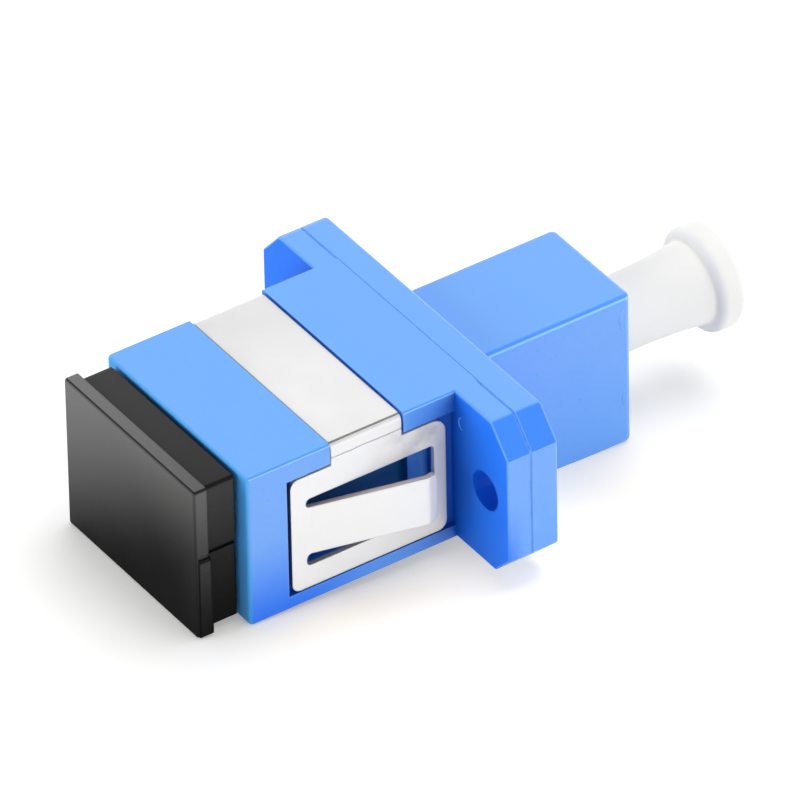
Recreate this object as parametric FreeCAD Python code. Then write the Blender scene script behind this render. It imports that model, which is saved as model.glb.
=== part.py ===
import FreeCAD, Part
import math
import os

# Flanged adapter that joins a large push-pull fibre connector to a small latched one, with both ports capped.
# Millimetres. X runs along the optical axis from the large port to the small port, and Z is up.
# The origin is on the optical axis, in the plane where the two halves of the flange meet.

# Fits and cutting allowances
slide_fit = 0.05
seat_fit = 0.05
overrun = 1.0
same_place = 1e-6

# Ferrules and the stepped split sleeve that lines them up
large_ferrule = 2.5
small_ferrule = 1.25
large_sleeve_wall = 0.35
small_sleeve_wall = 0.2
large_sleeve_length = 5.5
small_sleeve_length = 6.4
sleeve_step = 0.4
sleeve_step_depth = 0.5
sleeve_slit = 0.3

# Large port housing
body_length = 14.0
large_port_width = 9.05
large_port_height = 7.45
side_wall = 1.825
top_wall = 0.925
body_corner = 0.25
body_edge = 0.15
keyway_width = 2.4
keyway_depth = 0.5
keyway_length = 7.0

# Flange, moulded as one half on each housing
flange_width = 22.0
flange_front = 1.45
flange_rear = 1.65
ear_top_cut_width = 1.45
ear_top_cut_height = 1.65
ear_bottom_cut = 1.3
ear_shoulder_round = 0.5
flange_edge = 0.2
seam_chamfer = 0.08
hole_diameter = 2.2
hole_end_margin = 2.0

# Seat behind the large port that traps the two inner plates
seat_depth = 2.4
seat_side_step = 0.475
seat_top_step = 0.375

# Latch insert with its two hooks
insert_plate = 1.2
hook_reach = 7.2
hook_thickness = 0.75
hook_height = 3.0
hook_wall_gap = 0.3
barb_depth = 0.55
barb_length = 1.2
large_barrel_wall = 0.65
large_barrel_lip = 0.5
large_lip_opening = 0.2

# Holder for the small end of the sleeve
small_barrel_wall = 0.38
small_barrel_lip = 0.4
small_lip_opening = 0.1

# Small port block
small_port_size = 4.6
small_port_depth = 8.7
small_side_wall = 1.14
small_top_wall = 1.04
block_length = 9.8
block_corner = 0.4
block_edge = 0.3
throat_width = 2.7
throat_height = 1.0
latch_chamber_width = 4.4
latch_chamber_height = 1.7
latch_ledge = 1.5
small_floor_wall = 1.07

# Panel clip folded from one strip of sheet
sheet = 0.3
clip_sink_side = 0.05
clip_sink_top = 0.1
clip_bend = 0.06
band_width = 4.27
band_rear = 4.65
band_gap = 0.1
plate_length = 9.4
plate_rear = 2.0
plate_top = 3.24
plate_bottom = 3.79
plate_front_corner = 0.5
plate_rear_top_corner = 0.8
plate_rear_bottom_corner = 0.55
plate_front_gap = 0.25
plate_top_gap = 0.18
window_rear = 0.7
window_length = 7.8
window_top = 1.77
window_bottom = 2.45
window_corner = 0.28
tab_root = 0.3
tab_length = 6.8
tab_return_length = 0.65
tab_top = 1.2
tab_bottom = 1.73
tab_stand = 1.5
tab_return = 0.2
tab_corner = 0.45
tab_crest_round = 0.5
hollow_web = 0.6
hollow_inset = 0.3
hollow_step_length = 1.2
hollow_step_depth = 0.35

# Cap on the large port
cap_gap = 0.3
cap_lift = 0.15
cap_insert_depth = 3.0
cap_insert_wall = 0.9
cap_insert_corner = 0.4
cap_hollow_floor = 0.9
neck_length = 1.8
neck_side_inset = 0.72
neck_top_inset = 0.22
neck_corner = 0.3
cap_plate = 0.78
cap_plate_overhang = 0.28
cap_plate_top_overhang = 0.19
cap_plate_corner = 0.2
cap_plate_edge = 0.16
parting_height = 0.2
parting_step = 0.08
parting_thickening = 0.12
parting_groove = 0.28
neck_groove_depth = 0.2
plate_groove_depth = 0.1

# Plug in the small port
stem_gap = 0.28
stem_insertion = 4.1
stem_wall = 0.6
stem_straight = 1.73
flare_length = 4.27
flare_rise = 0.27
root_round = 0.17
rim_lip = 0.44
rim_thickness = 1.47
rim_near_round = 0.41
rim_far_round = 0.44

# Places that follow from the sizes above
body_width = large_port_width + 2 * side_wall
body_height = large_port_height + 2 * top_wall
half_width = body_width / 2
half_height = body_height / 2
hole_pitch = flange_width - 2 * hole_end_margin
pocket_depth = sheet + clip_sink_side
pocket_floor = half_width - pocket_depth
band_floor = half_height - sheet - clip_sink_top
plate_front = plate_rear + plate_length
band_front = band_rear + band_width
seat_width = large_port_width + 2 * seat_side_step
seat_height = large_port_height + 2 * seat_top_step
block_half_width = small_port_size / 2 + small_side_wall
block_top = small_port_size / 2 + small_top_wall
channel_floor = small_port_size / 2 + throat_height + latch_chamber_height
block_bottom = channel_floor + small_floor_wall
block_end = flange_rear + block_length
large_sleeve_radius = large_ferrule / 2 + large_sleeve_wall
small_sleeve_radius = small_ferrule / 2 + small_sleeve_wall
large_barrel_bore = large_sleeve_radius + seat_fit
small_barrel_bore = small_sleeve_radius + seat_fit
large_barrel_radius = large_barrel_bore + large_barrel_wall
small_barrel_radius = small_barrel_bore + small_barrel_wall
sleeve_front = sleeve_step_depth + large_sleeve_length
sleeve_rear = small_sleeve_length - sleeve_step_depth
stem_radius = small_port_size / 2 - stem_gap
plug_drop = small_port_size / 2 - math.sqrt((stem_radius + slide_fit) ** 2 - (throat_width / 2) ** 2)


def across(y, z):
    """Point in a section across the optical axis."""
    return FreeCAD.Vector(0, y, z)


def upright(x, z):
    """Point in the plane that holds the optical axis and Z."""
    return FreeCAD.Vector(x, 0, z)


def level(x, y):
    """Point in the plane that holds the optical axis and Y."""
    return FreeCAD.Vector(x, y, 0)


def outline(corners, plane):
    """Closed face through corners (u, v, radius), each corner rounded by an arc of its radius."""
    edges = []
    starts = []
    ends = []
    for index, (u, v, radius) in enumerate(corners):
        corner = plane(u, v)
        before = (plane(*corners[index - 1][:2]) - corner).normalize()
        after = (plane(*corners[(index + 1) % len(corners)][:2]) - corner).normalize()
        half_angle = before.getAngle(after) / 2
        reach = radius / math.tan(half_angle)
        starts.append(corner + before * reach)
        ends.append(corner + after * reach)
        if radius > 0:
            inward = (before + after).normalize()
            middle = corner + inward * (radius / math.sin(half_angle) - radius)
            edges.append(Part.Arc(starts[-1], middle, ends[-1]).toShape())
        if index > 0:
            edges.append(Part.LineSegment(ends[index - 1], starts[index]).toShape())
    edges.append(Part.LineSegment(ends[-1], starts[0]).toShape())
    return Part.Face(Part.Wire(Part.__sortEdges__(edges)))


def prism(face, start, length):
    """Solid from a face in a plane through the origin, moved to start and drawn out along its normal."""
    normal = face.normalAt(0, 0)
    direction = FreeCAD.Vector(abs(normal.x), abs(normal.y), abs(normal.z))
    face.translate(direction * start)
    return face.extrude(direction * length)


def rectangle(width, low, high, radius):
    """Corners of a rectangle centred on the axis, from low to high, all rounded by one radius."""
    half = width / 2
    return [(-half, low, radius), (half, low, radius), (half, high, radius), (-half, high, radius)]


def bar(x_low, x_high, width, z_low, z_high, radius=0.0):
    """Bar along X, centred on the axis in Y, with its long edges rounded by radius."""
    return prism(outline(rectangle(width, z_low, z_high, radius), across), x_low, x_high - x_low)


def side_bar(x_low, x_high, y_low, y_high, z_low, z_high):
    """Plain box between two places on each axis."""
    corner = FreeCAD.Vector(x_low, y_low, z_low)
    return Part.makeBox(x_high - x_low, y_high - y_low, z_high - z_low, corner)


def rod(x_low, x_high, radius):
    """Round bar on the optical axis."""
    return Part.makeCylinder(radius, x_high - x_low, FreeCAD.Vector(x_low, 0, 0), FreeCAD.Vector(1, 0, 0))


def other_side(shape):
    """The same shape on the other side of the plane that holds the axis and Z."""
    return shape.mirror(FreeCAD.Vector(0, 0, 0), FreeCAD.Vector(0, 1, 0))


def edges_in_plane(shape, x):
    """Edges of a shape that lie wholly in one plane across the axis."""
    return [edge for edge in shape.Edges
            if abs(edge.BoundBox.XMin - x) < same_place and abs(edge.BoundBox.XMax - x) < same_place]


def flange_half(x_low, x_high, outer_face, seam_face):
    """Half of the flange, with its outer edges rounded and a fine bevel at the seam."""
    half = flange_width / 2
    low_shoulder = half - ear_bottom_cut
    low_waist = -half_height + ear_bottom_cut
    top_shoulder = half - ear_top_cut_width
    top_waist = half_height - ear_top_cut_height
    corners = [(-half, low_waist, 0.0), (-low_shoulder, -half_height, 0.0),
               (low_shoulder, -half_height, 0.0), (half, low_waist, 0.0),
               (half, top_waist, 0.0), (top_shoulder, half_height, ear_shoulder_round),
               (-top_shoulder, half_height, ear_shoulder_round), (-half, top_waist, 0.0)]
    plate = prism(outline(corners, across), x_low, x_high - x_low)
    plate = plate.makeFillet(flange_edge, edges_in_plane(plate, outer_face))
    return plate.makeChamfer(seam_chamfer, edges_in_plane(plate, seam_face))


def screw_holes(x_low, x_high):
    """Cutters for the two holes in the flange."""
    hole = rod(x_low - overrun, x_high + overrun, hole_diameter / 2)
    return [hole.translated(FreeCAD.Vector(0, side * hole_pitch / 2, 0)) for side in (-1, 1)]


def port_block(root, end, half, low, high, corner, edge_round):
    """Block of one port: its upright end edges rounded in plan, then its top and bottom edges."""
    plan = [(root, -half, 0.0), (end, -half, corner), (end, half, corner), (root, half, 0.0)]
    block = prism(outline(plan, level), low, high - low)
    rims = [edge for edge in block.Edges
            if edge.BoundBox.ZLength < same_place and abs(edge.CenterOfMass.x - root) > same_place]
    return block.makeFillet(edge_round, rims)


def clip_core(x_low, x_high, skin):
    """What lies inside the folded clip over a stretch of the body, thickened by skin."""
    low = -half_height - overrun
    half = pocket_floor + skin
    corners = [(-half, low, 0.0), (half, low, 0.0),
               (half, band_floor + skin, clip_bend + skin), (-half, band_floor + skin, clip_bend + skin)]
    return prism(outline(corners, across), x_low, x_high - x_low)


def band_groove():
    """Cutter for the groove over the top that the clip's band lies in."""
    x_low = -band_front - band_gap
    x_high = -band_rear + band_gap
    ring = bar(x_low, x_high, body_width + 2 * overrun, plate_top, half_height + overrun)
    return ring.cut(clip_core(x_low, x_high, 0.0))


def side_pocket():
    """Cutter for one side: the pocket of the clip's plate, and the stepped hollow behind its tab."""
    outside = half_width + overrun
    pocket = side_bar(-plate_front - plate_front_gap, -flange_front, pocket_floor, outside,
                      -plate_bottom - seat_fit, plate_top + plate_top_gap)
    hollow_low = -window_bottom
    hollow_high = window_top
    rear = -plate_rear - window_rear
    front = rear - window_length + hollow_inset
    step = rear - hollow_step_length
    deep = side_bar(front, step, large_port_width / 2 + hollow_web, outside, hollow_low, hollow_high)
    shallow = side_bar(step, rear, pocket_floor - hollow_step_depth, outside, hollow_low, hollow_high)
    return pocket.fuse([deep, shallow])


def large_port_housing():
    """Front half: the large port, its side pockets and the front of the flange."""
    body = port_block(0, -body_length, half_width, -half_height, half_height, body_corner, body_edge)
    shape = body.fuse(flange_half(-flange_front, 0, -flange_front, 0))
    port_half = large_port_height / 2
    port = bar(-body_length - overrun, overrun, large_port_width, -port_half, port_half)
    seat = bar(-seat_depth, overrun, seat_width, -seat_height / 2, seat_height / 2)
    keyway = bar(-body_length - overrun, -body_length + keyway_length, keyway_width,
                 -port_half - keyway_depth, 0)
    pocket = side_pocket()
    cutters = [port, seat, keyway, pocket, other_side(pocket), band_groove()]
    return shape.cut(cutters + screw_holes(-flange_front, 0)).removeSplitter()


def small_port_housing():
    """Rear half: the small port with its latch channel, and the rear of the flange."""
    block = port_block(flange_rear, block_end, block_half_width, -block_bottom, block_top,
                       block_corner, block_edge)
    shape = flange_half(0, flange_rear, flange_rear, 0).fuse(block)
    port_low = block_end - small_port_depth
    port_half = small_port_size / 2
    port = bar(port_low, block_end + overrun, small_port_size, -port_half, port_half)
    throat = bar(port_low, block_end + overrun, throat_width, -channel_floor, 0)
    chamber = bar(port_low, block_end - latch_ledge, latch_chamber_width,
                  -channel_floor, -port_half - throat_height)
    way = rod(-overrun, port_low + overrun, small_barrel_radius + seat_fit)
    return shape.cut([port, throat, chamber, way] + screw_holes(0, flange_rear)).removeSplitter()


def inner_plate(x_low, x_high):
    """One of the two plates that fill the seat behind the large port."""
    half = seat_height / 2 - seat_fit
    return bar(x_low, x_high, seat_width - 2 * seat_fit, -half, half)


def hook():
    """Latch arm on one side, with a barb that points towards the axis at its tip."""
    outer = large_port_width / 2 - hook_wall_gap
    inner = outer - hook_thickness
    root = -seat_depth
    tip = root - hook_reach
    corners = [(root, outer), (tip, outer), (tip, inner), (tip + barb_length / 2, inner - barb_depth),
               (tip + barb_length, inner - barb_depth), (tip + barb_length, inner), (root, inner)]
    face = outline([(x, y, 0.0) for x, y in corners], level)
    return prism(face, -hook_height / 2, hook_height)


def latch_insert():
    """Plate with two hooks and the barrel that holds the large end of the sleeve."""
    plate_back = -seat_depth + insert_plate
    barrel_front = -sleeve_front - seat_fit - large_barrel_lip
    arm = hook()
    shape = inner_plate(-seat_depth, plate_back)
    shape = shape.fuse([rod(barrel_front, plate_back, large_barrel_radius), arm, other_side(arm)])
    bore = rod(barrel_front + large_barrel_lip, plate_back + overrun, large_barrel_bore)
    mouth = rod(barrel_front - overrun, plate_back, large_ferrule / 2 + large_lip_opening)
    return shape.cut([bore, mouth]).removeSplitter()


def sleeve_holder():
    """Plate behind the latch insert, with the barrel that holds the small end of the sleeve."""
    plate_front_face = -seat_depth + insert_plate
    barrel_end = sleeve_rear + seat_fit + small_barrel_lip
    shape = inner_plate(plate_front_face, 0).fuse(rod(plate_front_face, barrel_end, small_barrel_radius))
    counterbore = rod(plate_front_face - overrun, -sleeve_step_depth + seat_fit, large_barrel_bore)
    bore = rod(plate_front_face, barrel_end - small_barrel_lip, small_barrel_bore)
    mouth = rod(plate_front_face, barrel_end + overrun, small_ferrule / 2 + small_lip_opening)
    return shape.cut([counterbore, bore, mouth]).removeSplitter()


def alignment_sleeve():
    """Stepped ceramic sleeve, split along its top so that it grips both ferrules."""
    step = -sleeve_step_depth
    shape = rod(-sleeve_front, step, large_sleeve_radius).fuse(rod(step, sleeve_rear, small_sleeve_radius))
    large_bore = rod(-sleeve_front - overrun, step - sleeve_step, large_ferrule / 2)
    small_bore = rod(step - sleeve_step, sleeve_rear + overrun, small_ferrule / 2)
    slit = bar(-sleeve_front - overrun, sleeve_rear + overrun, sleeve_slit, 0, large_sleeve_radius + overrun)
    return shape.cut([large_bore, small_bore, slit]).removeSplitter()


def clip_tab(root, outer):
    """Spring tab of one side plate: it leans out from its root and turns in a little at its free end."""
    crest = root + tab_length - tab_return_length
    end = root + tab_length
    inner = outer - sheet
    crest_line = [(crest, outer + tab_stand, tab_crest_round), (crest, inner + tab_stand, tab_crest_round)]
    end_line = [(end, outer + tab_stand - tab_return, 0.0), (end, inner + tab_stand - tab_return, 0.0)]
    corners = [(root, inner, 0.0), (root, outer, 0.0), crest_line[0], end_line[0], end_line[1], crest_line[1]]
    strip = prism(outline(corners, level), -tab_bottom, tab_bottom + tab_top)
    side = outline([(root - overrun, -tab_bottom, 0.0), (end, -tab_bottom, tab_corner),
                    (end, tab_top, tab_corner), (root - overrun, tab_top, 0.0)], upright)
    return strip.common(prism(side, inner - overrun, tab_stand + sheet + 2 * overrun))


def clip_side():
    """Side plate of the clip with its window and tab."""
    bend_start = band_floor - clip_bend
    corners = [(-plate_front, -plate_bottom, plate_front_corner),
               (-plate_rear, -plate_bottom, plate_rear_bottom_corner),
               (-plate_rear, plate_top, plate_rear_top_corner), (-band_rear, plate_top, 0.0),
               (-band_rear, bend_start, 0.0), (-band_front, bend_start, 0.0),
               (-band_front, plate_top, 0.0), (-plate_front, plate_top, plate_front_corner)]
    plate = prism(outline(corners, upright), pocket_floor, sheet)
    window_high = -plate_rear - window_rear
    window_low = window_high - window_length
    root = window_low + tab_root
    window = [(window_low, -window_bottom, window_corner), (window_high, -window_bottom, window_corner),
              (window_high, window_top, window_corner), (window_low, window_top, window_corner),
              (window_low, tab_top, window_corner), (root, tab_top, 0.0),
              (root, -tab_bottom, 0.0), (window_low, -tab_bottom, window_corner)]
    opening = prism(outline(window, upright), pocket_floor - overrun, sheet + 2 * overrun)
    return plate.cut(opening).fuse(clip_tab(root, pocket_floor + sheet))


def panel_clip():
    """Spring clip: a band over the top of the body, folded down into a plate with a tab on each side."""
    bend_start = band_floor - clip_bend
    band = clip_core(-band_front, -band_rear, sheet).cut(clip_core(-band_front, -band_rear, 0.0))
    keep = bar(-band_front, -band_rear, body_width + 2 * overrun, bend_start, half_height + overrun)
    side = clip_side()
    return band.common(keep).fuse([side, other_side(side)]).removeSplitter()


def large_port_cap():
    """Cap of the large port: a plate to pull, a neck, and a hollow insert that fits inside the port."""
    neck_rear = -body_length - cap_gap
    neck_front = neck_rear - neck_length
    plate_front_face = neck_front - cap_plate
    neck_width = body_width - 2 * neck_side_inset
    neck_half = half_height - neck_top_inset
    split = cap_lift + parting_height
    neck_low = cap_lift - neck_half
    neck_high = cap_lift + neck_half
    groove_top = split + parting_groove
    whole_neck = bar(neck_front, neck_rear, neck_width, neck_low, neck_high, neck_corner)
    upper_neck = whole_neck.common(bar(neck_front, neck_rear, neck_width, groove_top, neck_high))
    waist = bar(neck_front, neck_rear, neck_width - 2 * neck_groove_depth, split, groove_top)
    lower_neck = whole_neck.common(bar(neck_front, neck_rear, neck_width - 2 * parting_step, neck_low, split))
    plate_width = neck_width + 2 * cap_plate_overhang
    plate_half = neck_half + cap_plate_top_overhang
    plate = bar(plate_front_face, neck_front, plate_width, -plate_half + cap_lift,
                plate_half + cap_lift, cap_plate_corner)
    plate = plate.makeFillet(cap_plate_edge, edges_in_plane(plate, plate_front_face))
    groove = side_bar(plate_front_face + cap_plate_edge, neck_front, plate_width / 2 - plate_groove_depth,
                      plate_width / 2 + overrun, split, groove_top)
    plate = plate.cut([groove, other_side(groove)])
    lip = bar(plate_front_face + cap_plate_edge, neck_front + parting_thickening,
              plate_width + 2 * parting_step, -plate_half + cap_lift, split, cap_plate_corner)
    insert_width = large_port_width - 2 * slide_fit
    insert_half = large_port_height / 2 - slide_fit
    insert_rear = -body_length + cap_insert_depth
    insert = bar(neck_rear, insert_rear, insert_width, -insert_half, insert_half, cap_insert_corner)
    hollow_half = insert_half - cap_insert_wall
    hollow = bar(plate_front_face + cap_hollow_floor, insert_rear + overrun,
                 insert_width - 2 * cap_insert_wall, -hollow_half, hollow_half)
    return plate.fuse([upper_neck, waist, lower_neck, lip, insert]).cut(hollow).removeSplitter()


def small_port_plug():
    """Plug of the small port: a hollow stem that flares into a round rim to pull."""
    inner_end = block_end - stem_insertion
    bore = stem_radius - stem_wall
    flare_start = block_end + stem_straight
    flare_end = flare_start + flare_length
    flare_top = stem_radius + flare_rise
    flare_radius = (flare_length ** 2 + flare_rise ** 2) / (2 * flare_rise)
    turn = math.asin(flare_length / flare_radius)
    flare_middle = (flare_start + flare_radius * math.sin(turn / 2),
                    stem_radius + flare_radius * (1 - math.cos(turn / 2)))
    root_x = flare_end - root_round * math.sin(turn)
    root_top = flare_top + root_round * math.cos(turn)
    root_turn = (math.pi / 2 - turn) / 2
    rim_near = root_x + root_round
    rim_far = rim_near + rim_thickness
    rim_radius = root_top + rim_lip
    soft = 1 - math.sqrt(0.5)
    points = {
        "bore_start": (inner_end, bore), "stem_start": (inner_end, stem_radius),
        "flare_start": (flare_start, stem_radius), "flare_middle": flare_middle,
        "flare_end": (flare_end, flare_top),
        "root_middle": (root_x + root_round * math.cos(root_turn),
                        root_top - root_round * math.sin(root_turn)),
        "root_end": (rim_near, root_top), "lip_start": (rim_near, rim_radius - rim_near_round),
        "lip_middle": (rim_near + soft * rim_near_round, rim_radius - soft * rim_near_round),
        "rim_start": (rim_near + rim_near_round, rim_radius),
        "rim_end": (rim_far - rim_far_round, rim_radius),
        "back_middle": (rim_far - soft * rim_far_round, rim_radius - soft * rim_far_round),
        "back_start": (rim_far, rim_radius - rim_far_round), "back_centre": (rim_far, 0.0),
        "bore_centre": (rim_near, 0.0), "bore_end": (rim_near, bore),
    }
    place = {name: upright(x, radius - plug_drop) for name, (x, radius) in points.items()}

    def line(first, second):
        return Part.LineSegment(place[first], place[second]).toShape()

    def arc(first, middle, last):
        return Part.Arc(place[first], place[middle], place[last]).toShape()

    profile = Part.Wire([
        line("bore_start", "stem_start"), line("stem_start", "flare_start"),
        arc("flare_start", "flare_middle", "flare_end"), arc("flare_end", "root_middle", "root_end"),
        line("root_end", "lip_start"),
        arc("lip_start", "lip_middle", "rim_start"), line("rim_start", "rim_end"),
        arc("rim_end", "back_middle", "back_start"), line("back_start", "back_centre"),
        line("back_centre", "bore_centre"), line("bore_centre", "bore_end"), line("bore_end", "bore_start")])
    centre = upright(0, -plug_drop)
    return Part.Face(profile).revolve(centre, FreeCAD.Vector(1, 0, 0), 360)


pieces = [large_port_housing, small_port_housing, latch_insert, sleeve_holder,
          alignment_sleeve, panel_clip, large_port_cap, small_port_plug]

os.makedirs("parts", exist_ok=True)
for make in pieces:
    solid = make()
    solid.exportStep("parts/" + make.__name__ + ".step")
    box = solid.optimalBoundingBox(False)
    print(make.__name__, len(solid.Solids), solid.isValid(), round(solid.Volume, 3),
          [round(value, 3) for value in (box.XMin, box.XMax, box.YMin, box.YMax, box.ZMin, box.ZMax)])
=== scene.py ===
import math
import random
from types import SimpleNamespace

import bmesh
import bpy
from mathutils import Matrix, Vector


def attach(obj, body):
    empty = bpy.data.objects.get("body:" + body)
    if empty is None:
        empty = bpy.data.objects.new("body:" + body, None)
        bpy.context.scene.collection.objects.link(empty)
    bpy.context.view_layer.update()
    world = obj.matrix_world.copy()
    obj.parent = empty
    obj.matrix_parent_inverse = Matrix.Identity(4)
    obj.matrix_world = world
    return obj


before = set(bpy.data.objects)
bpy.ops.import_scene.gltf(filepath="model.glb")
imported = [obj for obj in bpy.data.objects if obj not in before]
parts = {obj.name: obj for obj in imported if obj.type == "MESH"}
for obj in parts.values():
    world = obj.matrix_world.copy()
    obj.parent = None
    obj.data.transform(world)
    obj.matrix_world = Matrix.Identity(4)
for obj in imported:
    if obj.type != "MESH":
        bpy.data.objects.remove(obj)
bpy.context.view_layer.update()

MM = 0.001
LENGTHWISE = Vector((1.0, 0.0, 0.0))
CROSSWISE = Vector((0.0, 1.0, 0.0))
UPWARD = Vector((0.0, 0.0, 1.0))
SIDES = ((-1, "right"), (1, "left"))
WHITE = (1, 1, 1, 1)

# Camera, fitted to the corners of the flange, the body and the block
CAMERA_AZIMUTH = math.radians(-33.65)
CAMERA_ELEVATION = math.radians(37.45)
CAMERA_ROLL = math.radians(1.18)
CAMERA_DISTANCE = 762.64 * MM
CAMERA_AIM = Vector((0.0, 0.0, 0.07)) * MM
CAMERA_LEFT = 0.4105 * MM
CAMERA_DOWN = 0.464 * MM
SENSOR_WIDTH = 36.0
FOCAL_LENGTH = 676.62
NEAREST_SEEN = 0.01
FARTHEST_SEEN = 20.0

# Brightness of the studio's walls and ceiling, and the upward share of a view where one fades into the other
WALL_LIGHT = 1.15
CEILING_LIGHT = 0.2
WALL_TOP = (0.15, 0.65)

# Lamps: name, direction from the part, distance, width, height, brightness, mirrored in glossy faces or not
LAMPS = (
    ("back_panel", (0.44, 0.66, 0.61), 0.7, 0.55, 0.55, 0.4, True),
    ("top_box", (0.3, 0.1, 0.95), 0.6, 0.5, 0.5, 2.9, False),
    ("left_fill", (-0.93, 0.25, 0.27), 0.6, 0.4, 0.4, 3.7, False),
    ("front_strip", (0.38, -0.89, 0.25), 0.5, 0.45, 0.1, 4.0, False),
)

# The table touches the front bottom edge of the body and the end bottom edge of the block
FRONT_FOOT = Vector((-14.0, 0.0, -4.65)) * MM
REAR_FOOT = Vector((11.27, 0.0, -6.07)) * MM
TABLE_SIZE = 4.0
TABLE_CLEARANCE = 0.01 * MM
TABLE_COLOUR = (0.872, 0.866, 0.852, 1)
TABLE_GLOW = 0.27

# The blue pieces throw blue light on the table near them, so the table is painted warmer there to cancel it,
# and the shadow stays grey
BLUE_MIDDLE = Vector((-1.5, 0.0, 0.0)) * MM
BLUE_HALF_SIZE = Vector((10.3, 7.0, 10.0)) * MM
BLUE_REACH = 6.0 * MM
WARM_TABLE = (0.9, 0.82, 0.68, 1)

# Painted light: under each ear the table also glows a little brighter and warmer, lifting the shadow there
EAR_FOOT = Vector((0.5, 10.5, 5.4)) * MM
EAR_GLOW_FADE = (2.0 * MM, 9.0 * MM)
EAR_GLOW = 0.2
WARM_GLOW = (1.0, 0.96, 0.86, 1)

# Places on the part, in millimetres, where the small mould marks sit
EAR_FRONT = -1.45
EAR_MARK = (7.1, 2.95)
EAR_MARK_RADIUS = 0.4
EAR_MARK_ARC = (math.radians(-80), math.radians(150))
BLOCK_SIDE = 3.44
BLOCK_MARKS = ((11.55, 1.87, 0.85), (11.7, -3.18, 0.85))
BLOCK_MARK_ARC = (math.radians(-50), math.radians(100))
FLANGE_HALF_WIDTH = 11.0
FLANGE_HALF_HEIGHT = 4.65
FLANGE_TOP_CUT = (1.45, 1.65)
FLANGE_BOTTOM_CUT = 1.3
SEAM_DEPTH = 0.075
POCKET_TOP = 3.42
POCKET_LIP = 6.31
POCKET_FLASH = (-11.45, -9.1)
CLIP_SEAT = 6.0
CLIP_FACE = 6.3
CLIP_BAND = (-8.92, -4.65)
CLIP_CREASE = 3.72

# Section of a bead: shares of its half width and of its height
BEAD_SECTION = ((-1.0, -0.5), (-0.6, 0.65), (0.0, 1.0), (0.6, 0.65), (1.0, -0.5))

# Half widths and heights of the marks in millimetres: the least, and what may be added to it
PIN_MARK_WIDTH = (0.02, 0.04)
PIN_MARK_HEIGHT = (0.004, 0.016)
PIN_MARK_STEPS = 24
PIN_MARK_ENDS = (0.04, 0.96)
SEAM_WIDTH = (0.035, 0.02)
SEAM_HEIGHT = (0.025, 0.05)
SEAM_SPACING = 0.16
SEAM_SEED = 7
FLASH_WIDTH = (0.03, 0.02)
FLASH_HEIGHT = (0.015, 0.1)
FLASH_STEPS = 40
FLASH_SEED = 20
CREASE_WIDTH = (0.03, 0.03)
CREASE_HEIGHT = (0.006, 0.008)
CREASE_STEPS = 60
CREASE_SEED = 40

# Wander of the crease: the share of the last drift that stays, and the size of the next one
CREASE_DRIFT = (0.8, 0.03)


class Wire:
    """One socket of a node tree. Sums and products of wires add Math nodes to that tree."""

    def __init__(self, socket):
        self.socket = socket
        self.tree = socket.id_data

    def node(self, kind, settings=None, inputs=None, output=0):
        """Add a node: its settings are set first, then the values or wires of its sockets."""
        made = self.tree.nodes.new(kind)
        for name, value in (settings or {}).items():
            setattr(made, name, value)
        connect(made, inputs or {})
        return Wire(made.outputs[output])

    def math(self, operation, first, second):
        return self.node("ShaderNodeMath", {"operation": operation}, {0: first, 1: second})

    def __add__(self, other):
        return self.math("ADD", self, other)

    def __sub__(self, other):
        return self.math("SUBTRACT", self, other)

    def __rsub__(self, other):
        return self.math("SUBTRACT", other, self)

    def __mul__(self, other):
        return self.math("MULTIPLY", self, other)

    __radd__ = __add__
    __rmul__ = __mul__


def connect(node, inputs):
    """Set or link the named sockets of a node."""
    for name, value in inputs.items():
        if isinstance(value, Wire):
            node.id_data.links.new(value.socket, node.inputs[name])
        else:
            node.inputs[name].default_value = value


def new_finish(name):
    """A material, its surface shader, and the wire of the place on the piece in metres."""
    material = bpy.data.materials.new(name)
    material.use_nodes = True
    nodes = material.node_tree.nodes
    place = nodes.new("ShaderNodeTexCoord")
    return material, nodes["Principled BSDF"], Wire(place.outputs["Object"])


def vectors(operation, first, second=None, output=0):
    """Vector Math on wires. Output 1 is the single value of a length, a distance or a dot product."""
    sockets = {0: first}
    if second is not None:
        sockets[1] = second
    return first.node("ShaderNodeVectorMath", {"operation": operation}, sockets, output)


def along(vector, axis):
    """One part of a vector: 0, 1 or 2 for X, Y or Z."""
    return vector.node("ShaderNodeSeparateXYZ", {}, {0: vector}, axis)


def millimetres(place, axis):
    """One coordinate of a place in millimetres."""
    return along(place, axis) * (1.0 / MM)


def rise(value, low, high):
    """Smooth step from 0 at low to 1 at high."""
    return value.node("ShaderNodeMapRange", {"interpolation_type": "SMOOTHSTEP"},
                      {"Value": value, "From Min": low, "From Max": high})


def fall(value, low, high):
    """Smooth step from 1 at low to 0 at high."""
    return 1.0 - rise(value, low, high)


def magnitude(value):
    """A value without its sign."""
    return value.node("ShaderNodeMath", {"operation": "ABSOLUTE"}, {0: value})


def tint(factor, first, second):
    """Colour between two colours. A Mix node has its colours at sockets 6 and 7, and the mix at output 2."""
    return factor.node("ShaderNodeMix", {"data_type": "RGBA"}, {0: factor, 6: first, 7: second}, 2)


def paint(colour, layers):
    """Lay further colours over a first one in order, each by its share."""
    for share, shade in layers:
        colour = tint(share, colour, shade)
    return colour


# Sizes, widths, reaches and depths of the textures below are in millimetres
def noise(place, size, detail, stretch=(1.0, 1.0, 1.0)):
    """Cloudy value from 0 to 1 whose blotches are about one size across."""
    scaled = vectors("MULTIPLY", place, tuple(share / (size * MM) for share in stretch))
    return place.node("ShaderNodeTexNoise", {}, {"Vector": scaled, "Scale": 1.0, "Detail": detail})


def bump(height, depth, base=None):
    """Normal of a surface raised by height times depth, over another normal if one is given."""
    sockets = {"Height": height, "Distance": depth * MM}
    if base is not None:
        sockets["Normal"] = base
    return height.node("ShaderNodeBump", {}, sockets)


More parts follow.
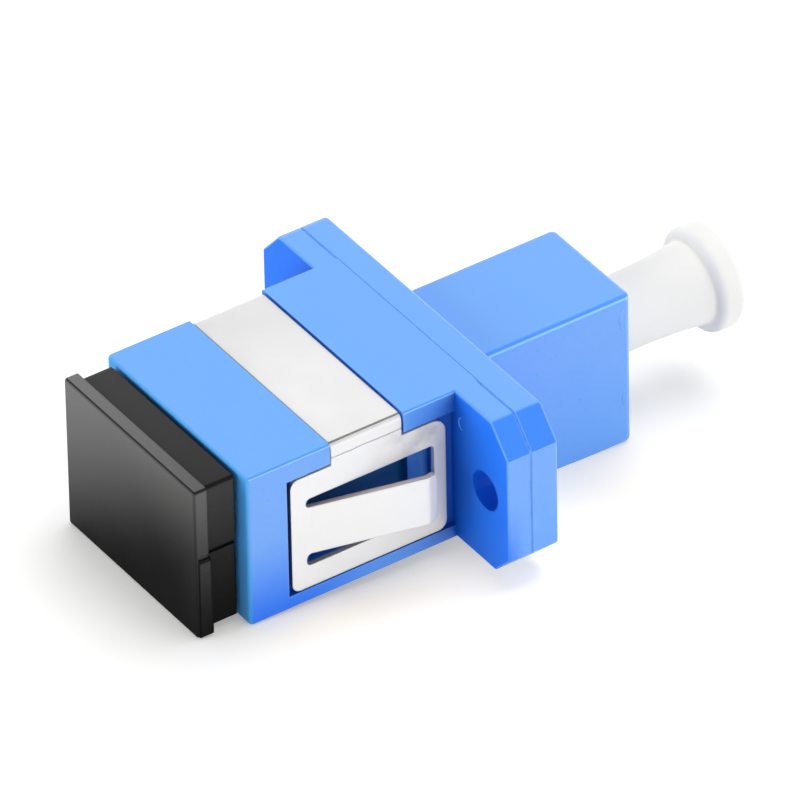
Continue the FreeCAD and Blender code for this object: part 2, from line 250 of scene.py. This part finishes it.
def face_normal(place):
    """The way that the surface looks."""
    return place.node("ShaderNodeNewGeometry", {}, {}, "Normal")


def soft_normal(place, width):
    """Normal of a piece as if its sharp edges were rounded over a width."""
    return place.node("ShaderNodeBevel", {"samples": 4}, {"Radius": width * MM})


# Used for painted highlights along the edges of the blue and the steel, and for the worn coat on the edges of
# the cap
def edge_wear_and_highlight(place, width):
    """1 along the edges of a piece, 0 on its flats."""
    likeness = vectors("DOT_PRODUCT", soft_normal(place, width), face_normal(place), 1)
    return rise(1.0 - likeness, 0.01, 0.2)


def shelter(place, reach):
    """1 deep in the corners and hollows of a piece, 0 out in the open."""
    openness = place.node("ShaderNodeAmbientOcclusion", {"samples": 8, "only_local": True},
                          {"Distance": reach * MM}, "AO")
    return fall(openness, 0.45, 1.0)


def spot_on(place):
    """Where a point of a piece is, in millimetres, and how far its face looks along, across and up."""
    across = millimetres(place, 1)
    facing = face_normal(place)
    side_on = along(facing, 1)
    return SimpleNamespace(
        length=millimetres(place, 0),
        across=across,
        half_width=magnitude(across),
        height=millimetres(place, 2),
        end_on=along(facing, 0),
        side_on=side_on,
        sideways=magnitude(side_on),
        upward=along(facing, 2),
    )


# In the finishes a named pair of numbers is a soft edge, from its start to its end in millimetres.
# Bare pairs from -1 to 1 are soft limits on the way that a face looks, or on a noise.

BLUE_CLOUDS = ((0.134, 0.378, 0.97, 1), (0.149, 0.404, 0.99, 1))
# Painted light: the top faces are painted lighter, and paler towards the rear
LIT_TOP_BLUE = (0.142, 0.44, 0.98, 1)
LIT_REAR_TOP_BLUE = (0.2, 0.43, 0.98, 1)
SKIN_BLUE = (0.16, 0.43, 1.0, 1)
PIT_BLUE = (0.06, 0.26, 0.82, 1)
# Painted shade: deeper blue laid on the ear fronts, the lower sides, the slanting edges, the ear chamfers and
# the pin marks
DEEP_SHADE_BLUE = (0.014, 0.195, 1.0, 1)
# Painted light: the front rim of the body, shaded by the cap, is painted more cyan and a little lighter
LIFTED_RIM_BLUE = (0.05, 0.43, 0.95, 1)
EDGE_HIGHLIGHT_BLUE = (0.3, 0.74, 1.0, 1)
SHADED_BLUE = (0.002, 0.08, 0.48, 1)
HOLLOW_SHADE_BLUE = (0.006, 0.115, 0.3, 1)
POCKET_SHADE_BLUE = (0.004, 0.05, 0.34, 1)
HOLE_SHADE_BLUE = (0.003, 0.13, 0.8, 1)
FRONT_HALF_END = (-1.4, -0.2)
FRONT_RIM_END = (-13.6, -13.3)
REAR_TOP_START = (-7.0, 3.0)
EAR_FACE_START = (-4.0, -2.5)
EAR_CUT_START = (9.2, 9.5)
LEDGE_START = (-11.5, -4.5)
LEDGE_END = (-1.7, -1.4)
LOW_SIDE_TOP = (-5.0, 1.0)
GLOSS_START = (-5.0, 2.0)
HOLLOW_MOUTH = (0.0, 0.9)
HOLLOW_FLOOR = (1.05, 1.25)
HOLLOW_HALF_HEIGHT = (2.6, 2.7)
HOLLOW_FRONT = (-11.4, -11.0)
POCKET_FLOOR_START = (5.8, 5.9)
POCKET_FLOOR_END = (6.05, 6.15)
POCKET_FRONT_END = (-9.5, -9.0)
POCKET_ROOF_START = (2.0, 2.5)
SCREW_HOLE_OUT = 9.0
SCREW_HOLE_RADIUS_SQUARED = (1.3, 1.45)


def clip_hollow(spot):
    """1 in the hollow of the body behind each window of the clip."""
    depth = CLIP_SEAT - spot.half_width
    hollow = rise(depth, *HOLLOW_MOUTH) * fall(depth, *HOLLOW_FLOOR)
    return hollow * fall(magnitude(spot.height), *HOLLOW_HALF_HEIGHT) * rise(spot.length, *HOLLOW_FRONT)


def side_pocket(spot, front_half):
    """1 on the front of the floor, the front wall and the roof of each pocket that the clip lies in."""
    floor = rise(spot.sideways, 0.8, 0.95) * rise(spot.half_width, *POCKET_FLOOR_START)
    floor = floor * fall(spot.half_width, *POCKET_FLOOR_END)
    front = (rise(spot.end_on, 0.5, 0.8) + floor) * fall(spot.length, *POCKET_FRONT_END)
    roof = fall(spot.upward, -0.8, -0.5) * rise(spot.height, *POCKET_ROOF_START) * front_half
    return front + roof


def screw_hole(spot):
    """1 inside the screw holes of the ears."""
    outward = spot.half_width - SCREW_HOLE_OUT
    return fall(outward * outward + spot.height * spot.height, *SCREW_HOLE_RADIUS_SQUARED)


def blue_moulding(name, deepening):
    """Blue plastic: glossy, a little cloudy and deeper by a share, with painted shade where the part shades
    itself, on its ear fronts, lower sides and hollows, and painted light on its tops, front rim and edges.
    """
    material, surface, place = new_finish(name)
    spot = spot_on(place)
    cloud = noise(place, 2.6, 3.0)
    skin = noise(place, 0.3, 3.0)
    grain = noise(place, 0.05, 2.0)
    pits = rise(noise(place, 0.16, 0.0), 0.82, 0.88)
    edge = edge_wear_and_highlight(place, 0.08)
    polished = fall(spot.end_on * spot.end_on, 0.4, 0.9)
    top_face = rise(spot.upward, 0.9, 0.98)
    slant = rise(spot.sideways * spot.upward, 0.25, 0.45) * rise(spot.upward, 0.45, 0.6)
    highlight_brow = rise(spot.upward, 0.1, 0.2) * fall(spot.upward, 0.5, 0.6) * rise(spot.sideways, 0.7, 0.85)
    front_half = fall(spot.length, *FRONT_HALF_END)
    lifted_front_rim = fall(spot.end_on, -0.6, -0.2) * fall(spot.length, *FRONT_RIM_END)
    ear_face = (1.0 - polished) * front_half * rise(spot.length, *EAR_FACE_START)
    ear_cut = slant * rise(spot.half_width, *EAR_CUT_START)
    ledge = rise(spot.length, *LEDGE_START) * fall(spot.length, *LEDGE_END)
    low_side = polished * front_half * fall(spot.height, *LOW_SIDE_TOP) * (1.0 - 0.85 * ledge)
    hollow = clip_hollow(spot)
    hole = screw_hole(spot)
    gloss = polished * (1.0 - 0.7 * slant) * (1.0 - hollow) * (1.0 - hole)
    colour = paint(tint(cloud, *BLUE_CLOUDS), (
        # painted light: top faces painted lighter, paler towards the rear
        (0.5 * top_face, LIT_TOP_BLUE),
        (0.3 * top_face * rise(spot.length, *REAR_TOP_START), LIT_REAR_TOP_BLUE),
        (0.3 * rise(skin, 0.4, 0.75), SKIN_BLUE),
        (0.4 * pits, PIT_BLUE),
        # painted shade: the ear fronts, and the sides darker towards the bottom except on the ledge under the
        # clip
        (deepening + 0.95 * ear_face + low_side, DEEP_SHADE_BLUE),
        # painted reflection: the slanting rounded edges and the ear chamfers are painted deeper, as if
        # mirroring something dark
        (0.35 * slant + 0.3 * ear_cut, DEEP_SHADE_BLUE),
        # painted light: the front rim in the cap's shade painted more cyan and lighter
        (0.6 * lifted_front_rim, LIFTED_RIM_BLUE),
        # painted highlight: lighter edges, and a bright line along the rounded top edges
        (0.35 * edge + 0.65 * highlight_brow, EDGE_HIGHLIGHT_BLUE),
        (0.92 * front_half * shelter(place, 5.0), SHADED_BLUE),
        # painted shade: the hollow behind each window of the clip painted dark
        (0.85 * hollow * front_half, HOLLOW_SHADE_BLUE),
        # painted shade: the fronts, floors and roofs of the pockets painted dark, for the shadow gap beside
        # the clip
        (0.85 * side_pocket(spot, front_half), POCKET_SHADE_BLUE),
        # painted shade: the inside of the screw holes painted darker
        (0.85 * hole, HOLE_SHADE_BLUE),
    ))
    connect(surface, {
        "Base Color": colour,
        "Roughness": 0.34 + 0.1 * cloud + 0.1 * skin,
        "Specular IOR Level": 0.08,
        "Coat Weight": gloss * (0.4 + 0.5 * rise(spot.height, *GLOSS_START) + 0.1 * cloud),
        "Coat Roughness": 0.1,
        "Coat IOR": 1.6,
        "Normal": bump(0.8 * skin + 0.2 * grain, 0.005),
    })
    return material


INSERT_CLOUDS = ((0.68, 0.68, 0.64, 1), (0.78, 0.78, 0.75, 1))


def insert_moulding():
    """Plain pale plastic of the pieces inside."""
    material, surface, place = new_finish("insert_moulding")
    cloud = noise(place, 1.5, 3.0)
    grain = noise(place, 0.06, 2.0)
    connect(surface, {
        "Base Color": tint(cloud, *INSERT_CLOUDS),
        "Roughness": 0.45 + 0.1 * cloud,
        "Normal": bump(grain, 0.003),
    })
    return material


CERAMIC_CLOUDS = ((0.84, 0.83, 0.78, 1), (0.88, 0.87, 0.83, 1))


def sleeve_ceramic():
    """Ground and polished ceramic of the sleeve."""
    material, surface, place = new_finish("sleeve_ceramic")
    cloud = noise(place, 0.8, 3.0)
    ground = noise(place, 0.03, 2.0, (1.0, 0.2, 0.2))
    connect(surface, {
        "Base Color": tint(cloud, *CERAMIC_CLOUDS),
        "Roughness": 0.12 + 0.08 * cloud + 0.05 * ground,
        "Normal": bump(ground, 0.0008),
    })
    return material


STEEL_CLOUDS = ((0.905, 0.905, 0.9, 1), (0.96, 0.96, 0.955, 1))
SCRATCH_GREY = (0.6, 0.6, 0.6, 1)
EDGE_HIGHLIGHT_STEEL = (0.97, 0.97, 0.965, 1)
# Painted light: a warm tint on the rear of the plates and on the end faces cancels the blue reflected on them
# from the ears
WARM_STEEL = (1.0, 0.94, 0.8, 1)
DARK_REFLECTION_GREY = (0.57, 0.56, 0.54, 1)
BAND_SHADE_GREY = (0.7, 0.7, 0.7, 1)
SHEARED_BROWN = (0.46, 0.36, 0.33, 1)
NOSE_SHADE_DARK = (0.02, 0.03, 0.12, 1)
PLATE_REAR_START = (-4.4, -1.9)
PLATE_FACE_END = (6.4, 6.7)
WARM_START = (-7.5, -2.5)
REFLECTION_START = (-7.0, -4.0)
REFLECTION_BOTTOM = (1.0, 2.6)
BAND_BOTTOM = (3.9, 4.1)
BAND_SHADE_START = (-2.0, 6.0)
SHEARED_TOP = (2.9, 3.3)
NOSE_END = (-10.5, -10.0)


def clip_steel():
    """Bright rolled sheet of the clip, with darker bends, brown sheared edges, painted dark reflections near
    the top of its rear, painted shade on its band and front end, painted highlights on its edges, and a
    painted warm tint against the blue reflected from the ears.
    """
    material, surface, place = new_finish("clip_steel")
    spot = spot_on(place)
    rolled = noise(place, 0.04, 3.0, (1.0, 0.04, 0.04))
    smudge = noise(place, 1.8, 4.0)
    scratch = rise(noise(place, 0.12, 2.0, (1.0, 0.05, 0.05)), 0.68, 0.78)
    edge = edge_wear_and_highlight(place, 0.06)
    lean = spot.side_on * spot.side_on
    bend = rise(lean, 0.02, 0.05) * fall(lean, 0.2, 0.35)
    upright = rise(lean, 0.8, 0.95)
    rear = upright * rise(spot.length, *PLATE_REAR_START)
    flat = fall(spot.half_width, *PLATE_FACE_END)
    warm = upright * (flat * rise(spot.length, *WARM_START) + rise(spot.end_on, 0.1, 0.2))
    reflection_area = rise(spot.length, *REFLECTION_START) * rise(spot.height, *REFLECTION_BOTTOM)
    dark_reflection = upright * reflection_area * rise(noise(place, 1.1, 4.0), 0.4, 0.72)
    band = rise(spot.upward, 0.9, 0.97) * rise(spot.height, *BAND_BOTTOM)
    sheared = rise(magnitude(spot.upward), 0.6, 0.85) * fall(spot.height, *SHEARED_TOP)
    nose_shade = fall(spot.end_on, -0.9, -0.5) * fall(spot.length, *NOSE_END)
    colour = paint(tint(smudge, *STEEL_CLOUDS), (
        (0.1 * scratch, SCRATCH_GREY),
        # painted highlight: edges of the sheet painted lighter
        (0.5 * edge, EDGE_HIGHLIGHT_STEEL),
        # painted light: warm tint cancelling the blue reflected from the ears
        (0.75 * warm, WARM_STEEL),
        # painted reflection: dark grey patches near the top of the rear of each plate
        (0.7 * dark_reflection, DARK_REFLECTION_GREY),
        # painted shade: the band on top darker towards its left side
        (0.4 * band * rise(spot.across, *BAND_SHADE_START), BAND_SHADE_GREY),
        (sheared * (0.6 + 0.4 * smudge), SHEARED_BROWN),
        # painted shade: the front end faces of the clip painted dark, for the shadow gap there
        (0.9 * nose_shade, NOSE_SHADE_DARK),
    ))
    connect(surface, {
        "Base Color": colour,
        "Metallic": 0.45 - 0.15 * smudge + 0.6 * bend - 0.2 * upright + 0.1 * rear,
        "Roughness": 0.24 + 0.14 * smudge + 0.08 * rolled - 0.1 * bend,
        "Normal": bump(0.0008 * rolled + 0.2 * rear, 1.0, soft_normal(place, 0.12)),
    })
    return material


BLACK_CLOUDS = ((0.008, 0.008, 0.008, 1), (0.013, 0.013, 0.013, 1))
TOP_SHEEN_GREY = (0.13, 0.13, 0.13, 1)
CAP_PLATE_END = (-16.12, -16.06)
SHEEN_FACE = (-4.0, 8.5)
SHEEN_CORNER = (1.0, 12.0)
SHEEN_FLANK = (-4.0, 5.0)


def black_moulding():
    """Smooth black plastic of the cap, with a coat and a painted sheen that grow towards the top: its top
    faces are painted lighter grey.
    """
    material, surface, place = new_finish("black_moulding")
    spot = spot_on(place)
    cloud = noise(place, 1.8, 3.0)
    grain = noise(place, 0.05, 2.0)
    edge = edge_wear_and_highlight(place, 0.14)
    up_face = rise(spot.upward, 0.93, 0.99)
    flank = rise(spot.sideways, 0.8, 0.97)
    plate = fall(spot.length, *CAP_PLATE_END)
    polish_and_sheen = rise(spot.height + 0.6 * spot.across, *SHEEN_FACE)
    polish_and_sheen = polish_and_sheen + 0.25 * rise(spot.height - spot.across, *SHEEN_CORNER)
    polish_and_sheen = polish_and_sheen + 0.45 * flank * rise(spot.height, *SHEEN_FLANK)
    colour = tint(cloud, *BLACK_CLOUDS)
    connect(surface, {
        # painted sheen: top faces, the plate's most, painted lighter grey, more so towards the top
        "Base Color": tint(up_face * (0.22 + 0.78 * plate) * polish_and_sheen, colour, TOP_SHEEN_GREY),
        "Roughness": 0.3 + 0.12 * cloud,
        "Specular IOR Level": 0.0,
        "Coat Weight": (0.35 + 0.65 * plate) * (0.04 + 0.96 * polish_and_sheen) * (1.0 - 0.9 * edge),
        "Coat Roughness": 0.12,
        "Coat IOR": 1.85,
        "Normal": bump(grain, 0.002),
    })
    return material


WHITE_CLOUDS = ((0.893, 0.888, 0.871, 1), (0.916, 0.911, 0.894, 1))
ROOT_WHITE = (0.93, 0.905, 0.865, 1)
GROOVE_WHITE = (1.0, 0.96, 0.89, 1)
STEM_ROOT_END = (11.5, 16.5)


def white_moulding():
    """Soft white plastic of the plug, painted warmer near the blue block against the blue light from it, and
    painted lighter in the groove behind its rim to lift its shade.
    """
    material, surface, place = new_finish("white_moulding")
    cloud = noise(place, 1.8, 3.0)
    grain = noise(place, 0.07, 2.0)
    colour = paint(tint(cloud, *WHITE_CLOUDS), (
        # painted light: warmer near the block, cancelling the blue light from it
        (0.6 * fall(millimetres(place, 0), *STEM_ROOT_END), ROOT_WHITE),
        # painted light: lighter in the groove behind the rim, lifting its shade
        (shelter(place, 2.0), GROOVE_WHITE),
    ))
    connect(surface, {
        "Base Color": colour,
        "Roughness": 0.45 + 0.12 * cloud,
        "Normal": bump(grain, 0.003),
    })
    return material


def dress(material, *names):
    """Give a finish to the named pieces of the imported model."""
    for name in names:
        mesh = parts[name].data
        mesh.materials.clear()
        mesh.materials.append(material)


blue = blue_moulding("blue_moulding", 0.0)
# Deeper blue of the marks: painted shade on the pin marks of the block; on the seam bead it is the dark
# colour of the joint
mark_blue = blue_moulding("mark_blue", 0.6)
steel = clip_steel()
dress(blue, "large_port_housing", "small_port_housing")
dress(insert_moulding(), "latch_insert", "sleeve_holder")
dress(sleeve_ceramic(), "alignment_sleeve")
dress(steel, "panel_clip")
dress(black_moulding(), "large_port_cap")
dress(white_moulding(), "small_port_plug")


def uneven(size, share):
    """A size given as its least and its most addition, with a share of that addition."""
    least, addition = size
    return least + addition * share


def bead(name, path, finish, closed=False):
    """Low rounded ridge on the adapter.

    The path is a list of (place, outward, half width, height) in millimetres.
    """
    shape = bmesh.new()
    count = len(path)
    rings = []
    for index, (place, outward, half_width, height) in enumerate(path):
        before = path[index - 1][0] if closed or index > 0 else place
        after = path[(index + 1) % count][0] if closed or index < count - 1 else place
        side = (after - before).cross(outward).normalized()
        ring = []
        for across, lift in BEAD_SECTION:
            corner = place + side * (across * half_width) + outward * (lift * height)
            ring.append(shape.verts.new(corner * MM))
        rings.append(ring)
    turns = len(BEAD_SECTION)
    for index in range(count if closed else count - 1):
        ring, following = rings[index], rings[(index + 1) % count]
        for corner in range(turns):
            other = (corner + 1) % turns
            shape.faces.new((ring[corner], ring[other], following[other], following[corner]))
    if not closed:
        shape.faces.new(rings[0])
        shape.faces.new(rings[-1])
    bmesh.ops.recalc_face_normals(shape, faces=shape.faces)
    mesh = bpy.data.meshes.new(name)
    shape.to_mesh(mesh)
    shape.free()
    for face in mesh.polygons:
        face.use_smooth = True
    mesh.materials.append(finish)
    piece = bpy.data.objects.new(name, mesh)
    bpy.context.scene.collection.objects.link(piece)
    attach(piece, "adapter")


def pin_mark(name, finish, centre, outward, first, second, radius, arc):
    """Crescent left by an ejector pin: an arc round centre, from the first direction towards the second."""
    start, sweep = arc
    low, high = PIN_MARK_ENDS
    path = []
    for step in range(PIN_MARK_STEPS + 1):
        share = step / PIN_MARK_STEPS
        angle = start + sweep * share
        swell = math.sin(math.pi * min(max(share, low), high))
        place = centre + (first * math.cos(angle) + second * math.sin(angle)) * radius
        path.append((place, outward, uneven(PIN_MARK_WIDTH, swell), uneven(PIN_MARK_HEIGHT, swell)))
    bead(name, path, finish)


def add_pin_marks():
    """Crescents on the fronts of the ears and near the end of the block."""
    for side, label in SIDES:
        centre = Vector((EAR_FRONT, side * EAR_MARK[0], EAR_MARK[1]))
        pin_mark("ear_pin_mark_" + label, blue, centre, -LENGTHWISE, -side * CROSSWISE, UPWARD,
                 EAR_MARK_RADIUS, EAR_MARK_ARC)
        for number, (x, z, radius) in enumerate(BLOCK_MARKS):
            centre = Vector((x, side * BLOCK_SIDE, z))
            pin_mark("block_pin_mark_{}_{}".format(label, number), mark_blue, centre, side * CROSSWISE,
                     -LENGTHWISE, UPWARD, radius, BLOCK_MARK_ARC)


def flange_outline(spacing):
    """Places round the flange, and the way out of it there, at about one spacing."""
    half, high = FLANGE_HALF_WIDTH, FLANGE_HALF_HEIGHT
    cut_width, cut_height = FLANGE_TOP_CUT
    low = FLANGE_BOTTOM_CUT
    corners = [(-half, low - high), (low - half, -high), (half - low, -high), (half, low - high),
               (half, high - cut_height), (half - cut_width, high),
               (cut_width - half, high), (-half, high - cut_height)]
    places = []
    for index, (y, z) in enumerate(corners):
        start = Vector((0.0, y, z))
        end = Vector((0.0,) + corners[(index + 1) % len(corners)])
        run = end - start
        outward = Vector((0.0, run.z, -run.y)).normalized()
        count = max(1, round(run.length / spacing))
        places += [(start + run * ((step + 0.5) / count), outward) for step in range(count)]
    return places


def add_seam_bead():
    """Uneven bead of melted plastic in the seam between the two halves of the flange."""
    chance = random.Random(SEAM_SEED)
    path = []
    for place, outward in flange_outline(SEAM_SPACING):
        height = uneven(SEAM_HEIGHT, chance.random() ** 3)
        path.append((place - outward * SEAM_DEPTH, outward, uneven(SEAM_WIDTH, chance.random()), height))
    bead("seam_bead", path, mark_blue, closed=True)


def add_pocket_flash():
    """Ragged fringe of moulding flash along the top edge of each side pocket."""
    start, end = POCKET_FLASH
    for side, label in SIDES:
        chance = random.Random(FLASH_SEED + side)
        path = []
        for step in range(FLASH_STEPS + 1):
            place = Vector((start + (end - start) * step / FLASH_STEPS, side * POCKET_LIP, POCKET_TOP))
            half_width = uneven(FLASH_WIDTH, chance.random())
            path.append((place, -UPWARD, half_width, uneven(FLASH_HEIGHT, chance.random() ** 2)))
        bead("pocket_flash_" + label, path, blue)


def add_clip_creases():
    """Wavy line that the folding tool pressed into the clip below each bend."""
    start, end = CLIP_BAND
    kept, wander = CREASE_DRIFT
    for side, label in SIDES:
        chance = random.Random(CREASE_SEED + side)
        path = []
        drift = 0.0
        for step in range(CREASE_STEPS + 1):
            drift = kept * drift + wander * (chance.random() - 0.5)
            x = start + (end - start) * step / CREASE_STEPS
            place = Vector((x, side * CLIP_FACE, CLIP_CREASE + drift))
            half_width = uneven(CREASE_WIDTH, chance.random())
            path.append((place, side * CROSSWISE, half_width, uneven(CREASE_HEIGHT, chance.random())))
        bead("clip_crease_" + label, path, steel)


add_pin_marks()
add_seam_bead()
add_pocket_flash()
add_clip_creases()


def seen_directly(tree):
    """1 for rays that show the table by itself, in a mirror or through glass."""
    path = tree.nodes.new("ShaderNodeLightPath")
    total = Wire(path.outputs["Is Camera Ray"]) + Wire(path.outputs["Is Glossy Ray"])
    total = total + Wire(path.outputs["Is Transmission Ray"])
    return total.math("MINIMUM", total, 1.0)


def table_finish():
    """Pale table that keeps shadows, and is white where nothing shades it."""
    material = bpy.data.materials.new("table")
    material.use_nodes = True
    tree = material.node_tree
    tree.nodes.clear()
    shown = seen_directly(tree)
    place = Wire(tree.nodes.new("ShaderNodeTexCoord").outputs["Object"])
    offset = vectors("ABSOLUTE", vectors("SUBTRACT", place, BLUE_MIDDLE))
    offset = vectors("MAXIMUM", vectors("SUBTRACT", offset, BLUE_HALF_SIZE), (0, 0, 0))
    beside_blue = fall(vectors("LENGTH", offset, None, 1), 0.0, BLUE_REACH)
    under_ear = fall(vectors("DISTANCE", vectors("ABSOLUTE", place), EAR_FOOT, 1), *EAR_GLOW_FADE)
    cover = shown.node("ShaderNodeBsdfDiffuse", {}, {"Color": tint(beside_blue, TABLE_COLOUR, WARM_TABLE)})
    glow = shown.node("ShaderNodeEmission", {}, {
        "Color": tint(under_ear, WHITE, WARM_GLOW),
        "Strength": (TABLE_GLOW + EAR_GLOW * under_ear) * shown,
    })
    both = shown.node("ShaderNodeAddShader", {}, {0: cover, 1: glow})
    connect(tree.nodes.new("ShaderNodeOutputMaterial"), {"Surface": both})
    return material


def make_table():
    """Table under the two edges that the adapter stands on."""
    forward = (REAR_FOOT - FRONT_FOOT).normalized()
    up = forward.cross(CROSSWISE)
    half = TABLE_SIZE / 2
    centre = FRONT_FOOT - up * TABLE_CLEARANCE
    corners = [centre + forward * (u * half) + CROSSWISE * (v * half)
               for u, v in ((-1, -1), (1, -1), (1, 1), (-1, 1))]
    mesh = bpy.data.meshes.new("table")
    mesh.from_pydata([tuple(corner) for corner in corners], [], [(0, 1, 2, 3)])
    mesh.materials.append(table_finish())
    table = bpy.data.objects.new("table", mesh)
    bpy.context.scene.collection.objects.link(table)


def make_studio():
    """Plain studio: pale low walls under a dimmer ceiling."""
    world = bpy.data.worlds.new("studio")
    world.use_nodes = True
    nodes = world.node_tree.nodes
    direction = Wire(nodes.new("ShaderNodeTexCoord").outputs["Generated"])
    height = rise(along(direction, 2), *WALL_TOP)
    strength = WALL_LIGHT + (CEILING_LIGHT - WALL_LIGHT) * height
    connect(nodes["Background"], {"Color": WHITE, "Strength": strength})
    bpy.context.scene.world = world


def softbox(name, direction, distance, width, height, brightness, mirrored):
    """Lamp of even brightness that faces the part from a direction, mirrored in glossy faces or not."""
    lamp = bpy.data.lights.new(name, "AREA")
    lamp.shape = "RECTANGLE"
    lamp.size = width
    lamp.size_y = height
    lamp.energy = math.pi * width * height * brightness
    holder = bpy.data.objects.new(name, lamp)
    away = Vector(direction).normalized()
    holder.location = away * distance
    holder.visible_glossy = mirrored
    holder.rotation_euler = away.to_track_quat("Z", "Y").to_euler()
    bpy.context.scene.collection.objects.link(holder)


def make_camera():
    """Camera at the photograph's place."""
    back = Vector((math.sin(CAMERA_AZIMUTH) * math.cos(CAMERA_ELEVATION),
                   -math.cos(CAMERA_AZIMUTH) * math.cos(CAMERA_ELEVATION), math.sin(CAMERA_ELEVATION)))
    level = Vector((math.cos(CAMERA_AZIMUTH), math.sin(CAMERA_AZIMUTH), 0.0))
    upright = back.cross(level)
    right = level * math.cos(CAMERA_ROLL) - upright * math.sin(CAMERA_ROLL)
    up = level * math.sin(CAMERA_ROLL) + upright * math.cos(CAMERA_ROLL)
    lens = bpy.data.cameras.new("camera")
    lens.sensor_width = SENSOR_WIDTH
    lens.lens = FOCAL_LENGTH
    lens.clip_start = NEAREST_SEEN
    lens.clip_end = FARTHEST_SEEN
    camera = bpy.data.objects.new("camera", lens)
    turned = Matrix((right, up, back)).transposed().to_4x4()
    turned.translation = CAMERA_AIM + back * CAMERA_DISTANCE - right * CAMERA_LEFT - up * CAMERA_DOWN
    camera.matrix_world = turned
    bpy.context.scene.collection.objects.link(camera)
    bpy.context.scene.camera = camera


make_table()
make_studio()
for lamp_values in LAMPS:
    softbox(*lamp_values)
make_camera()
bpy.context.scene.view_settings.view_transform = "Standard"
